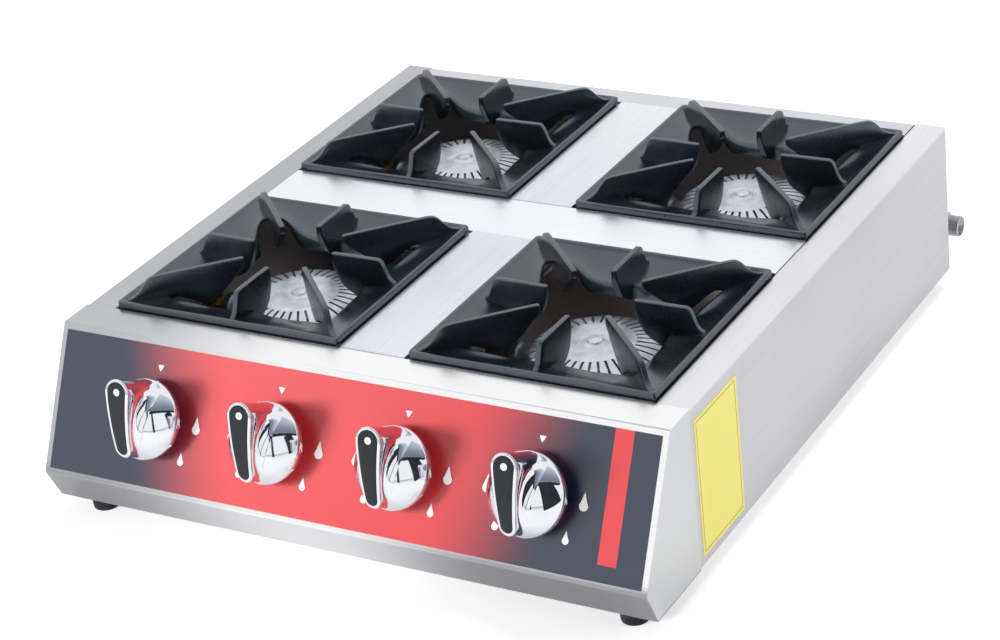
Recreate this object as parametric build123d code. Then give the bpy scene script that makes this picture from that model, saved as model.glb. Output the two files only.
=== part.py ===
"""Countertop gas stove with four burners, in millimetres.

+X is to the right and +Y to the rear as seen from the knobs, +Z is up. The pieces are drawn with
y = 0 at the front edge of the deck, and the last lines move them all so that the origin lies at the
centre of the overall box, at the level that the feet stand on.
"""

import os
from math import atan2, cos, degrees, radians, sin, sqrt, tan

from build123d import *

# Sheet metal
sheet = 1.2
bend_radius = 1.5
panel_return = 50.0

# Deck, seen from above
grate_size = 233.4
grate_clearance = 0.5
side_strip_width = 30.6
spacer_width = 70.0
front_strip_depth = 37.6
transverse_depth = 72.4
rear_strip_depth = 28.1
ledge_width = 7.0
ledge_drop = 3.0
seam_inset = 3.3
cutter_reach = 10.0

# Heights
foot_height = 16.0
body_height = 153.0

# Sloping front
face_drop = 119.8
face_lean = 28.1
chamfer_depth = 16.2
label_thickness = 0.5
label_side_margin = 5.0
label_top_margin = 6.0
label_bottom_margin = 4.8

# Knobs
knob_count = 4
knob_end_margin = 110.1
knob_down_face = 70.5
knob_radius = 36.0
knob_wall = 2.5
knob_skirt_start = 12.0
knob_skirt_end = 18.0
knob_dome_top = 40.0
hub_radius = 9.0
hub_start = 6.5
bar_top_radius = 12.0
bar_bottom_radius = 8.0
bar_high_end = 64.5
bar_low_end = 36.0
bar_crown = 4.5
bar_top_margin = 1.2
bar_bottom_margin = 2.5
bar_overrun = 1.0
inset_border = 2.8
inset_recess = 1.2
inset_thickness = 0.8
inset_gap = 0.15

# Taps behind the knobs
stem_radius = 4.0
stem_hole_radius = 7.0
stem_top = 40.0
fit_clearance = 0.05
knob_push = 3.5
push_margin = 0.5
tongue_width = 3.0
tongue_height = 7.0
tongue_length = 9.0
collar_radius = 6.5
collar_thickness = 2.0
collar_clearance = 1.0
bonnet_radius = 9.0
bonnet_start = 6.0
bonnet_length = 6.0
tap_radius = 13.0
tap_shoulder = 2.0
plug_top_radius = 9.0
plug_bottom_radius = 6.5
plug_length = 20.0
plug_end_gap = 0.3
outlet_radius = 6.0
outlet_reach = 19.0
port_radius = 2.5
gas_way_radius = 1.5

# Gas train
manifold_depth = 58.0
manifold_radius = 10.65
manifold_wall = 2.65
manifold_overhang = 45.0
boss_radius = 9.0
boss_length = 15.0
stub_radius = 5.0
stub_margin = 0.5
socket_radius = 14.0
socket_length = 24.0
clamp_thickness = 3.0
clamp_margin = 4.0
clamp_foot = 26.0
feed_pipe_radius = 4.0
feed_pipe_wall = 1.0
feed_bend = 10.0
left_lane_y = 30.0
middle_lane_y = 26.0
middle_lane_x = 20.0
right_lane_y = 50.0
injector_approach = 32.0
inlet_inset = 28.0
inlet_height = 47.2
inlet_low_y = 130.0
inlet_bend = 24.0
pipe_hole_clearance = 0.8
inlet_reach = 34.0
elbow_radius = 13.0
elbow_shoulder = 14.0
elbow_gap = 1.0
inlet_thread_radius = 10.478
inlet_bore_radius = 8.0
locknut_across_flats = 30.0
locknut_length = 8.0

# Burners
burner_axis_drop = 52.0
head_radius = 54.0
head_wall = 6.0
head_height = 23.0
cap_radius = 59.0
cap_crown_drop = 25.0
cap_rim_drop = 30.0
cap_seat_drop = 40.0
cap_flat_radius = 36.0
cap_boss_radius = 9.0
cap_boss_height = 2.0
cap_cavity_radius = 42.0
cap_roof = 6.0
cap_spigot_depth = 4.0
spigot_clearance = 0.4
slot_count = 36
slot_width = 2.4
slot_floor_rise = 4.0
mixer_radius = 11.0
mixer_bore_radius = 8.0
mixer_reach = 82.0
mouth_radius = 14.0
mouth_length = 6.0
post_radius = 12.0
post_flange_radius = 20.0
post_flange_height = 4.0
rail_height = 90.0
rail_width = 60.0
rail_depth = 20.0
injector_reach = 100.0
injector_block = 16.0
nozzle_radius = 5.5
nozzle_length = 6.0
jet_radius = 3.0
jet_length = 2.0
stud_radius = 4.0

# Grates, heights from the deck
rim_height = 6.0
rim_wall = 4.7
dish_depth = 15.0
dish_wall = 5.0
lip_half = 77.0
under_clearance = 2.0
lip_corner = 10.0
rim_corner = 3.0
rest_height = 23.0
rib_thickness = 5.0
rib_tip_height = 7.0
rib_knee_run = 4.5
rib_knee_drop = 2.5
rib_fall_run = 13.0
rib_end_run = 22.0
rib_rise_over_rim = 1.0
corner_rib_tip = 46.0
corner_rib_top_end = 33.0
corner_rib_keel = 84.0
corner_rib_keel_depth = 15.0
middle_rib_tip = 42.0
middle_rib_top_end = 23.7
middle_rib_keel = 66.0
middle_rib_keel_depth = 18.0
rib_root_cover = 3.0

# Feet
foot_radius = 13.0
foot_taper = 1.0
foot_inset_x = 32.0
front_foot_y = -27.0
rear_foot_inset = 34.0
screw_radius = 3.0
screw_head_radius = 5.5
screw_head_height = 3.5
head_recess_radius = 6.5
head_recess_depth = 8.0
nut_across_flats = 10.0
nut_height = 5.0
screw_end_margin = 2.0

# Plain plate on the right side
plate_width = 81.0
plate_height = 129.0
plate_thickness = 0.2
plate_front = 41.0
plate_above_base = 9.0

# Places that follow from the sizes above
opening = grate_size + 2 * grate_clearance
half_width = spacer_width / 2 + opening + side_strip_width
strip_edge = half_width - side_strip_width
ledge_edge = strip_edge - ledge_width
wall_inside = half_width - sheet
deck = foot_height + body_height
ledge_top = deck - ledge_drop
floor_top = foot_height + sheet
front_row_end = front_strip_depth + opening
rear_row_start = front_row_end + transverse_depth
rear_row_end = rear_row_start + opening
body_rear = rear_row_end + rear_strip_depth
seam = front_strip_depth - seam_inset
face_foot_y = -face_drop * tan(radians(face_lean))
face_foot_z = deck - face_drop
face_length = face_drop / cos(radians(face_lean))
burner_x = spacer_width / 2 + opening / 2
front_burner_y = front_strip_depth + opening / 2
rear_burner_y = rear_row_start + opening / 2
burner_level = deck - burner_axis_drop
between_rows_y = (front_row_end + rear_row_start) / 2
knob_pitch = 2 * (half_width - knob_end_margin) / (knob_count - 1)
knob_xs = [(i - (knob_count - 1) / 2) * knob_pitch for i in range(knob_count)]
bonnet_end = -bonnet_start - bonnet_length
collar_end = bonnet_end - collar_thickness
cavity_end = collar_end - knob_push - push_margin
plug_end = cavity_end - plug_length
outlet_at = cavity_end - plug_length / 2
tap_rear = boss_length - manifold_depth
manifold_reach = knob_xs[-1] + manifold_overhang
inlet_pipe_x = half_width - inlet_inset
outward = Vector(0, -cos(radians(face_lean)), sin(radians(face_lean)))
down_face = Vector(0, -sin(radians(face_lean)), -cos(radians(face_lean)))
burners = {
    "front_left": (-burner_x, front_burner_y),
    "front_right": (burner_x, front_burner_y),
    "rear_left": (-burner_x, rear_burner_y),
    "rear_right": (burner_x, rear_burner_y),
}


def knob_point(x, height):
    """Point on a knob's axis, at a height above the steel face."""
    return Vector(x, 0, deck) + down_face * knob_down_face + outward * height


def knob_frame(x):
    """Frame with its origin where a knob's axis meets the face, z outward and y up the face."""
    return Plane(origin=knob_point(x, 0), x_dir=(1, 0, 0), z_dir=outward).location


def block(low, high):
    """Box between two corners."""
    size = [b - a for a, b in zip(low, high)]
    return Pos(*low) * Box(*size, align=(Align.MIN, Align.MIN, Align.MIN))


def rod(radius, start, end):
    """Cylinder along the local z axis, from one height to another."""
    return Pos(0, 0, start) * Cylinder(radius, end - start, align=(Align.CENTER, Align.CENTER, Align.MIN))


def along_x(section, start, end):
    return extrude(Plane.YZ.offset(start) * section, amount=end - start, dir=(1, 0, 0))


def along_y(section, start, end):
    return extrude(Plane.XZ.offset(-start) * section, amount=end - start, dir=(0, 1, 0))


def bent_section(points, turns):
    """Section of one bent sheet. The points follow its outer side, with the metal on their right.

    Each turn is "out" for a bend round the inside of the sheet, or "in" for the other way.
    """
    radii = [bend_radius + sheet if turn == "out" else bend_radius for turn in turns]
    outer = Wire(FilletPolyline(*points, radius=radii).edges())
    return make_face(offset(outer, amount=sheet, side=Side.RIGHT, closed=True))


# Shell of the stove


def make_control_housing():
    """Front of the body: deck strip with its ledge, sloping face, chamfer and bottom return."""
    points = [
        (seam, foot_height),
        (face_foot_y + chamfer_depth, foot_height),
        (face_foot_y, face_foot_z),
        (0, deck),
        (front_strip_depth, deck),
        (front_strip_depth, ledge_top),
        (front_strip_depth + ledge_width, ledge_top),
    ]
    section = bent_section(points, ["out", "out", "out", "out", "in"])
    shell = along_x(section, -half_width, half_width)
    low_z = ledge_top - 2 * sheet
    for side in (-1, 1):
        for edge, start in ((strip_edge, seam), (ledge_edge, front_strip_depth)):
            low_x, high_x = sorted((side * edge, side * (half_width + cutter_reach)))
            shell -= block((low_x, start, low_z), (high_x, front_row_end, deck + cutter_reach))
    return drill_stem_holes(shell)


def drill_stem_holes(panel):
    """One hole for each knob's stem."""
    for x in knob_xs:
        panel -= knob_frame(x) * rod(stem_hole_radius, -cutter_reach, cutter_reach)
    return panel


def make_end_cheek(side):
    """Plate that closes one end of the control housing, inside its bent edge."""
    rear = seam + sheet
    points = [
        (rear, foot_height),
        (face_foot_y + chamfer_depth, foot_height),
        (face_foot_y, face_foot_z),
        (0, deck),
        (rear, deck),
    ]
    edge = FilletPolyline(*points, radius=bend_radius + sheet)
    outline = make_face(edge.edges() + Line(points[-1], points[0]).edges())
    inside = offset(outline, amount=-sheet)
    start = wall_inside if side > 0 else -half_width
    return along_x(inside, start, start + sheet)


def make_side_panel(side):
    """Side wall with its deck strip, the ledge that the grates rest on, and its bottom return."""
    points = [
        (ledge_edge, ledge_top),
        (strip_edge, ledge_top),
        (strip_edge, deck),
        (half_width, deck),
        (half_width, foot_height),
        (half_width - panel_return, foot_height),
    ]
    section = bent_section(points, ["in", "out", "out", "out"])
    panel = along_y(section, seam, body_rear)
    low_z = ledge_top - 2 * sheet
    web_end = strip_edge + sheet + 2 * bend_radius
    for start, end in ((0, front_strip_depth), (rear_row_end, body_rear + cutter_reach)):
        panel -= block((0, start, low_z), (strip_edge, end, deck + cutter_reach))
        panel -= block((0, start, low_z), (web_end, end, deck - sheet))
    return panel if side > 0 else mirror(panel, about=Plane.YZ)


def make_rear_panel():
    """Rear wall between the side panels, with its deck strip and ledge, and the hole for the gas pipe."""
    points = [
        (rear_row_end - ledge_width, ledge_top),
        (rear_row_end, ledge_top),
        (rear_row_end, deck),
        (body_rear, deck),
        (body_rear, foot_height),
        (body_rear - panel_return, foot_height),
    ]
    section = bent_section(points, ["in", "out", "out", "out"])
    panel = along_x(section, -strip_edge, strip_edge)
    return_edge = half_width - panel_return
    for side in (-1, 1):
        low_x, high_x = sorted((side * ledge_edge, side * half_width))
        low_z = ledge_top - 2 * sheet
        panel -= block((low_x, rear_row_start, low_z), (high_x, rear_row_end, deck + cutter_reach))
        low_x, high_x = sorted((side * return_edge, side * half_width))
        panel -= block((low_x, rear_row_start, 0), (high_x, body_rear + cutter_reach, floor_top))
    wall_height = deck - sheet - floor_top
    wall = Pos(0, floor_top + wall_height / 2) * RectangleRounded(2 * wall_inside, wall_height, bend_radius)
    middle = Pos(0, floor_top + wall_height / 2) * Rectangle(2 * strip_edge, deck)
    panel += along_y(wall - middle, body_rear - sheet, body_rear)
    hole = Cylinder(manifold_radius + pipe_hole_clearance, 2 * cutter_reach)
    return panel - Pos(inlet_pipe_x, body_rear, inlet_height) * Rot(90, 0, 0) * hole


def make_transverse_plate():
    """Bright plate across the deck, between the front and the rear burners."""
    points = [
        (front_row_end - ledge_width, ledge_top),
        (front_row_end, ledge_top),
        (front_row_end, deck),
        (rear_row_start, deck),
        (rear_row_start, ledge_top),
        (rear_row_start + ledge_width, ledge_top),
    ]
    plate = along_x(bent_section(points, ["in", "out", "out", "in"]), -ledge_edge, ledge_edge)
    inset = bend_radius + sheet
    low = (-strip_edge, front_row_end + inset, deck - sheet)
    return plate + block(low, (strip_edge, rear_row_start - inset, deck))


def make_spacer_plate(start, end):
    """Bright plate between the left and the right burner of one row."""
    half = spacer_width / 2
    points = [
        (-half - ledge_width, ledge_top),
        (-half, ledge_top),
        (-half, deck),
        (half, deck),
        (half, ledge_top),
        (half + ledge_width, ledge_top),
    ]
    section = bent_section(points, ["in", "out", "out", "in"])
    plate = along_y(section, start + ledge_width, end - ledge_width)
    inset = bend_radius + sheet
    return plate + block((-half + inset, start, deck - sheet), (half - inset, end, deck))


def make_base_tray():
    """Flat sheet that closes the bottom, lying on the returns of the four walls."""
    reach = wall_inside - bend_radius
    front = face_foot_y + chamfer_depth + 2 * sheet + bend_radius
    tray = block((-reach, front, floor_top), (reach, body_rear - sheet - bend_radius, floor_top + sheet))
    for x, y in foot_places():
        tray -= Pos(x, y, 0) * rod(screw_radius + fit_clearance, 0, deck)
    return tray


def make_control_label():
    """Thin printed plate on the sloping face, with a hole for each stem."""
    width = 2 * (half_width - label_side_margin)
    height = face_length - label_top_margin - label_bottom_margin
    middle = Vector(0, 0, deck) + down_face * (label_top_margin + height / 2)
    frame = Plane(origin=middle, x_dir=(1, 0, 0), z_dir=outward).location
    label = frame * Pos(0, 0, label_thickness / 2) * Box(width, height, label_thickness)
    return drill_stem_holes(label)


def make_side_label():
    low = (half_width, plate_front, foot_height + plate_above_base)
    high = (half_width + plate_thickness, plate_front + plate_width, low[2] + plate_height)
    return block(low, high)


# Feet


def foot_places():
    """Centres of the four feet, seen from above."""
    x = half_width - foot_inset_x
    return [(sign * x, y) for sign in (-1, 1) for y in (front_foot_y, body_rear - rear_foot_inset)]


def make_feet():
    """Rubber feet, each with a recess underneath for the head of its screw."""
    upright = (Align.CENTER, Align.CENTER, Align.MIN)
    foot = Cone(foot_radius - foot_taper, foot_radius, foot_height, align=upright)
    foot -= rod(screw_radius + fit_clearance, 0, foot_height)
    foot -= rod(head_recess_radius, 0, head_recess_depth)
    return [Pos(x, y, 0) * foot for x, y in foot_places()]


def make_foot_screws():
    """One screw for each foot, up through the return and the tray, with a nut on the tray."""
    seat = floor_top + sheet
    screw = rod(screw_radius, head_recess_depth, seat + nut_height + screw_end_margin)
    screw += rod(screw_head_radius, head_recess_depth - screw_head_height, head_recess_depth)
    hexagon = RegularPolygon(nut_across_flats / 2, 6, major_radius=False)
    nut = Pos(0, 0, seat) * extrude(hexagon, amount=nut_height) - rod(screw_radius + fit_clearance, 0, deck)
    places = foot_places()
    return [Pos(x, y, 0) * screw for x, y in places] + [Pos(x, y, 0) * nut for x, y in places]


def drill_foot_screws(panel):
    """Holes for the foot screws in a panel's bottom return."""
    for x, y in foot_places():
        panel -= Pos(x, y, 0) * rod(screw_radius + fit_clearance, 0, floor_top + cutter_reach)
    return panel


# Gas train


def tube(path, outer, wall):
    """Pipe swept along a path."""
    ring = Circle(outer) - Circle(outer - wall)
    return sweep(Plane(origin=path @ 0, z_dir=path % 0) * ring, path=path)


def make_manifold():
    """Gas pipe behind the taps, closed at the left, with a boss for each tap and a socket at the right."""
    axis = knob_point(0, -manifold_depth)
    axis_frame = Pos(0, axis.Y, axis.Z) * Rot(0, 90, 0)
    end = manifold_reach
    pipe = axis_frame * rod(manifold_radius, -end, end)
    pipe += axis_frame * rod(socket_radius, end - socket_length / 2, end + socket_length / 2)
    for x in knob_xs:
        pipe += knob_frame(x) * rod(boss_radius, -manifold_depth, tap_rear)
    pipe -= axis_frame * rod(manifold_radius - manifold_wall, manifold_wall - end, end)
    pipe -= axis_frame * rod(manifold_radius + fit_clearance, end, end + socket_length)
    for x in knob_xs:
        pipe -= knob_frame(x) * rod(stub_radius + fit_clearance, -manifold_depth, 0)
    return pipe


def make_manifold_clamps():
    """Two upright plates that hold the manifold above the tray, each with a foot."""
    axis = knob_point(0, -manifold_depth)
    half = manifold_radius + clamp_margin
    low = floor_top + sheet
    clamps = []
    for x in (-knob_pitch, knob_pitch):
        start, end = x - clamp_thickness / 2, x + clamp_thickness / 2
        corner = (start, axis.Y - half, low)
        web = block(corner, (end, axis.Y + half, axis.Z + half))
        foot = block(corner, (start + clamp_foot, axis.Y + half, low + clamp_thickness))
        hole = Cylinder(manifold_radius + fit_clearance, 2 * clamp_foot)
        clamps.append(web + foot - Pos(x, axis.Y, axis.Z) * Rot(0, 90, 0) * hole)
    return clamps


def make_valve_body():
    """Brass tap body round the knob's axis, with its stub into the manifold and its outlet up the face."""
    stub_end = manifold_radius - manifold_wall - stub_margin - manifold_depth
    outlet = Pos(0, 0, outlet_at) * Rot(-90, 0, 0)
    body = rod(tap_radius, tap_rear, bonnet_end + tap_shoulder)
    body += rod(bonnet_radius, bonnet_end, -bonnet_start)
    body += rod(stub_radius, stub_end, tap_rear)
    body += outlet * rod(outlet_radius, 0, outlet_reach)
    body -= rod(stem_radius + fit_clearance, bonnet_end, 0)
    body -= rod(collar_radius + collar_clearance, cavity_end, bonnet_end)
    body -= plug_cone(fit_clearance)
    body -= rod(port_radius, stub_end, plug_end)
    body -= outlet * rod(port_radius, 0, outlet_reach)
    return body


def plug_cone(growth):
    """Taper of the plug, or with some growth of the hole that it turns in."""
    bottom = plug_bottom_radius + growth
    top = plug_top_radius + growth
    upright = (Align.CENTER, Align.CENTER, Align.MIN)
    return Pos(0, 0, plug_end) * Cone(bottom, top, plug_length, align=upright)


def make_valve_plug():
    """Tapered plug with a slot for the stem's tongue.

    Its gas way meets the outlet a quarter turn from off.
    """
    plug = plug_cone(0) & rod(tap_radius, plug_end + plug_end_gap, cavity_end - plug_end_gap)
    slot_low = collar_end - tongue_length - knob_push - push_margin
    slot_x = tongue_width / 2 + 2 * fit_clearance
    slot_y = tongue_height / 2 + 2 * fit_clearance
    plug -= block((-slot_x, -slot_y, slot_low), (slot_x, slot_y, cavity_end))
    way_at = outlet_at - port_radius
    plug -= rod(port_radius, plug_end, way_at)
    return plug - Pos(0, 0, way_at) * Rot(0, 90, 0) * rod(gas_way_radius, 0, tap_radius)


def make_valve_stem():
    """Stem that carries the knob. Its tongue turns the plug and slides in the plug's slot when pushed."""
    stem = rod(stem_radius, bonnet_end, stem_top)
    stem += rod(collar_radius, collar_end, bonnet_end)
    low = (-tongue_width / 2, -tongue_height / 2, collar_end - tongue_length)
    return stem + block(low, (tongue_width / 2, tongue_height / 2, collar_end))


def feed_start(x):
    """Mouth of a tap's outlet, and the point where the pipe's axis reaches the burners' level."""
    foot = knob_point(x, outlet_at)
    mouth = foot - down_face * outlet_reach
    rise = (burner_level - foot.Z) / -down_face.Z
    return mouth, foot - down_face * rise


def make_feed_pipe(x, route, burner):
    """Pipe from one tap to one injector. The route's points lie level with the burner axis."""
    mouth, turn = feed_start(x)
    centre_x, centre_y = burners[burner]
    end = (centre_x - injector_reach, centre_y - injector_block / 2)
    points = [tuple(mouth), tuple(turn)] + [(px, py, burner_level) for px, py in route + [end]]
    return tube(FilletPolyline(*points, radius=feed_bend), feed_pipe_radius, feed_pipe_wall)


def make_feed_pipes():
    """Taps from left to right feed the front left, rear left, rear right and front right burner."""
    left_end = -burner_x - injector_reach
    right_end = burner_x - injector_reach
    first, second, third, fourth = knob_xs
    turn_y = rear_burner_y - injector_approach
    middle_lane = [(middle_lane_x, middle_lane_y), (middle_lane_x, turn_y)]
    routes = {
        "front_left": (first, [(first, left_lane_y), (left_end, left_lane_y)]),
        "rear_left": (second, [(second, between_rows_y), (left_end, between_rows_y)]),
        "rear_right": (third, [(third, middle_lane_y), *middle_lane, (right_end, turn_y)]),
        "front_right": (fourth, [(fourth, right_lane_y), (right_end, right_lane_y)]),
    }
    return {"feed_pipe_" + name: make_feed_pipe(x, route, name) for name, (x, route) in routes.items()}


def make_injectors():
    """Brass blocks with a jet, one on a stud beside each burner's mixing tube."""
    half = injector_block / 2
    injectors = []
    nozzle_end = half + nozzle_length
    for x, y in burners.values():
        place = Pos(x - injector_reach, y, burner_level)
        to_burner = place * Rot(0, 90, 0)
        piece = place * Box(injector_block, injector_block, injector_block)
        piece += to_burner * rod(nozzle_radius, half, nozzle_end)
        piece += to_burner * rod(jet_radius, nozzle_end, nozzle_end + jet_length)
        piece += place * rod(stud_radius, rail_height - burner_level, 0)
        injectors.append(piece)
    return injectors


def make_inlet_pipe():
    """Pipe from the manifold's socket along the right side and out through the rear panel."""
    axis = knob_point(0, -manifold_depth)
    points = [
        (manifold_reach, axis.Y, axis.Z),
        (inlet_pipe_x, axis.Y, axis.Z),
        (inlet_pipe_x, inlet_low_y, inlet_height),
        (inlet_pipe_x, body_rear + inlet_reach - elbow_radius, inlet_height),
    ]
    return tube(FilletPolyline(*points, radius=inlet_bend), manifold_radius, manifold_wall)


def make_inlet_elbow():
    """Elbow on the pipe behind the rear panel. Its threaded end points to the right."""
    centre = Pos(inlet_pipe_x, body_rear + inlet_reach, inlet_height)
    to_pipe = centre * Rot(90, 0, 0)
    to_supply = centre * Rot(0, 90, 0)
    socket_end = inlet_reach - locknut_length - elbow_gap
    elbow = to_pipe * rod(elbow_radius, 0, socket_end)
    elbow += centre * Sphere(elbow_radius)
    elbow += to_supply * rod(elbow_radius, 0, elbow_shoulder)
    elbow += to_supply * rod(inlet_thread_radius, elbow_shoulder, inlet_inset)
    elbow -= to_pipe * rod(manifold_radius + fit_clearance, elbow_radius, socket_end)
    elbow -= to_pipe * rod(inlet_bore_radius, 0, socket_end)
    elbow -= to_supply * rod(inlet_bore_radius, 0, inlet_inset)
    return elbow


def make_inlet_locknut():
    """Nut that clamps the inlet pipe to the rear panel."""
    nut = extrude(RegularPolygon(locknut_across_flats / 2, 6, major_radius=False), amount=locknut_length)
    nut -= rod(manifold_radius + fit_clearance, 0, locknut_length)
    return Pos(inlet_pipe_x, body_rear, inlet_height) * Rot(-90, 0, 0) * nut


# Burners


def make_rail(y):
    """Channel between the side panels that carries one row of burners."""
    points = [
        (y - rail_width / 2, rail_height - rail_depth),
        (y - rail_width / 2, rail_height),
        (y + rail_width / 2, rail_height),
        (y + rail_width / 2, rail_height - rail_depth),
    ]
    return along_x(bent_section(points, ["out", "out"]), -wall_inside, wall_inside)


def make_burner_body():
    """Cast burner: cup for the cap, mixing tube to the left and a post on the rail."""
    seat = deck - cap_seat_drop
    head_low = seat - head_height
    body = rod(head_radius, head_low, seat)
    body += rod(post_radius, rail_height, head_low + head_wall)
    body += rod(post_flange_radius, rail_height, rail_height + post_flange_height)
    mixer = Pos(0, 0, burner_level) * Rot(0, -90, 0)
    body += mixer * rod(mixer_radius, head_radius - head_wall, mixer_reach)
    body += mixer * rod(mouth_radius, mixer_reach - mouth_length, mixer_reach)
    body -= rod(head_radius - head_wall, head_low + head_wall, seat)
    body -= mixer * rod(mixer_bore_radius, head_radius - 2 * head_wall, mixer_reach)
    return body


def make_burner_cap():
    """Cast cap with radial gas slots round its rim and a boss in the middle."""
    seat = deck - cap_seat_drop
    rim = deck - cap_rim_drop
    crown = deck - cap_crown_drop
    spigot = head_radius - head_wall - spigot_clearance
    points = [
        (0, crown - cap_roof),
        (cap_cavity_radius, crown - cap_roof),
        (cap_cavity_radius, seat - cap_spigot_depth),
        (spigot, seat - cap_spigot_depth),
        (spigot, seat),
        (cap_radius, seat),
        (cap_radius, rim),
        (cap_flat_radius, crown),
        (cap_boss_radius, crown),
        (cap_boss_radius, crown + cap_boss_height),
        (0, crown + cap_boss_height),
    ]
    cap = revolve(Plane.XZ * make_face(Polyline(*points, close=True)), Axis.Z)
    low = (cap_flat_radius, -slot_width / 2, seat + slot_floor_rise)
    slot = block(low, (cap_radius + cutter_reach, slot_width / 2, deck))
    for i in range(slot_count):
        cap -= Rot(0, 0, i * 360 / slot_count) * slot
    return cap


# Grates


def square(half, corner, level):
    """Square with rounded corners at a level."""
    return Plane.XY.offset(level) * RectangleRounded(2 * half, 2 * half, corner)


def make_grate():
    """Cast grate: dished frame with four corner ribs and four shorter ribs, heights from the deck."""
    half = grate_size / 2
    under_half = opening / 2 - ledge_width - under_clearance
    frame = extrude(square(half, rim_corner, -ledge_drop), amount=rim_height + ledge_drop)
    frame = chamfer(frame.edges().group_by(Axis.Z)[0], bend_radius)
    dish_foot = square(lip_half + dish_wall, lip_corner, -dish_depth)
    frame += loft([square(under_half, lip_corner, -ledge_drop), dish_foot])
    lip_level = -dish_depth + dish_wall
    frame -= loft([square(lip_half, lip_corner, lip_level), square(half - rim_wall, rim_corner, rim_height)])
    frame -= extrude(square(lip_half, lip_corner, -dish_depth - cutter_reach), amount=dish_depth)
    middle = rib_outline(
        half, lip_half, middle_rib_tip, middle_rib_top_end, middle_rib_keel, middle_rib_keel_depth
    )
    corner = rib_outline(
        half * sqrt(2),
        lip_half * sqrt(2),
        corner_rib_tip,
        corner_rib_top_end,
        corner_rib_keel,
        corner_rib_keel_depth,
    )
    for i in range(4):
        for outline, angle in ((middle, 90 * i), (corner, 90 * i + 45)):
            side_view = Plane.XZ * make_face(Polyline(*outline, close=True))
            frame += Rot(0, 0, angle) * extrude(side_view, amount=rib_thickness / 2, both=True)
    return frame


def rib_outline(rim, lip, tip, top_end, keel, keel_depth):
    """Side view of a rib from its tip outward. Rim and lip are the frame's half sizes in its direction."""
    knee = rim - top_end
    return [
        (tip, rest_height - rib_tip_height),
        (tip, rest_height),
        (knee, rest_height),
        (knee + rib_knee_run, rest_height - rib_knee_drop),
        (knee + rib_fall_run, rim_height + rib_rise_over_rim),
        (min(knee + rib_end_run, rim - rim_wall), rim_height - rim_wall),
        (lip + rib_root_cover, -dish_depth + rib_root_cover),
        (keel, -keel_depth),
    ]


# Knobs


def bar_outline(border):
    """Plan of the knob's bar, round at both ends and wider at the top, drawn in by a border."""
    top_y = knob_radius - bar_top_margin - bar_top_radius
    bottom_y = knob_radius - bar_bottom_margin - bar_bottom_radius
    top_radius = bar_top_radius - border
    bottom_radius = bar_bottom_radius - border
    lean = degrees(atan2(bar_top_radius - bar_bottom_radius, top_y + bottom_y))
    side = [
        (-top_radius * cos(radians(lean)), top_y - top_radius * sin(radians(lean))),
        (-bottom_radius * cos(radians(lean)), -bottom_y - bottom_radius * sin(radians(lean))),
        (bottom_radius * cos(radians(lean)), -bottom_y - bottom_radius * sin(radians(lean))),
        (top_radius * cos(radians(lean)), top_y - top_radius * sin(radians(lean))),
    ]
    return make_face(
        [
            Line(side[0], side[1]),
            ThreePointArc(side[1], (0, -bottom_y - bottom_radius), side[2]),
            Line(side[2], side[3]),
            ThreePointArc(side[3], (0, top_y + top_radius), side[0]),
        ]
    )


def bar_side(offset_up, base):
    """Side view of the bar, from a base height up to its crowned front, which may be moved outward."""
    reach = knob_radius + bar_overrun
    high = (reach, bar_high_end + offset_up)
    low = (-reach, bar_low_end + offset_up)
    middle = (0, (bar_high_end + bar_low_end) / 2 + bar_crown + offset_up)
    face = make_face(
        [
            Line((low[0], base), low),
            ThreePointArc(low, middle, high),
            Line(high, (high[0], base)),
            Line((high[0], base), (low[0], base)),
        ]
    )
    width = 2 * knob_radius
    return along_x(face, -width / 2, width / 2)


def bar_prism(border, low, high):
    return extrude(Plane.XY.offset(low) * bar_outline(border), amount=high - low)


def make_knob():
    """Chromed knob: hollow dome with a skirt, a hub for the stem and a hollow grip bar across it."""
    top = bar_high_end + 2 * bar_crown
    knob = dome(knob_radius, knob_dome_top)
    knob += bar_prism(0, knob_skirt_end, top) & bar_side(0, knob_skirt_end)
    hollow = dome(knob_radius - knob_wall, knob_dome_top - knob_wall)
    bar_ceiling = bar_side(-inset_recess - knob_wall, knob_skirt_end)
    hollow += bar_prism(knob_wall, knob_skirt_end, top) & bar_ceiling
    knob -= hollow - rod(hub_radius, knob_skirt_start, top)
    knob += rod(hub_radius, hub_start, stem_top)
    knob -= rod(stem_radius + fit_clearance, hub_start, stem_top)
    recess = bar_prism(inset_border, knob_skirt_end, top) - bar_side(-inset_recess, knob_skirt_end)
    return knob - recess


def dome(radius, height):
    """Solid skirt with a shallow ball-shaped dome."""
    rise = height - knob_skirt_end
    ball_radius = (radius * radius + rise * rise) / (2 * rise)
    face = make_face(
        [
            Line((0, knob_skirt_start), (radius, knob_skirt_start)),
            Line((radius, knob_skirt_start), (radius, knob_skirt_end)),
            RadiusArc((radius, knob_skirt_end), (0, height), -ball_radius),
            Line((0, height), (0, knob_skirt_start)),
        ]
    )
    return revolve(Plane.XZ * face, Axis.Z)


def make_knob_inset():
    """Black strip in the recess of the bar."""
    top = bar_high_end + 2 * bar_crown
    strip = bar_prism(inset_border + inset_gap, knob_skirt_end, top)
    return strip & (bar_side(-inset_recess + inset_thickness, 0) - bar_side(-inset_recess, 0))


# All pieces


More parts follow.
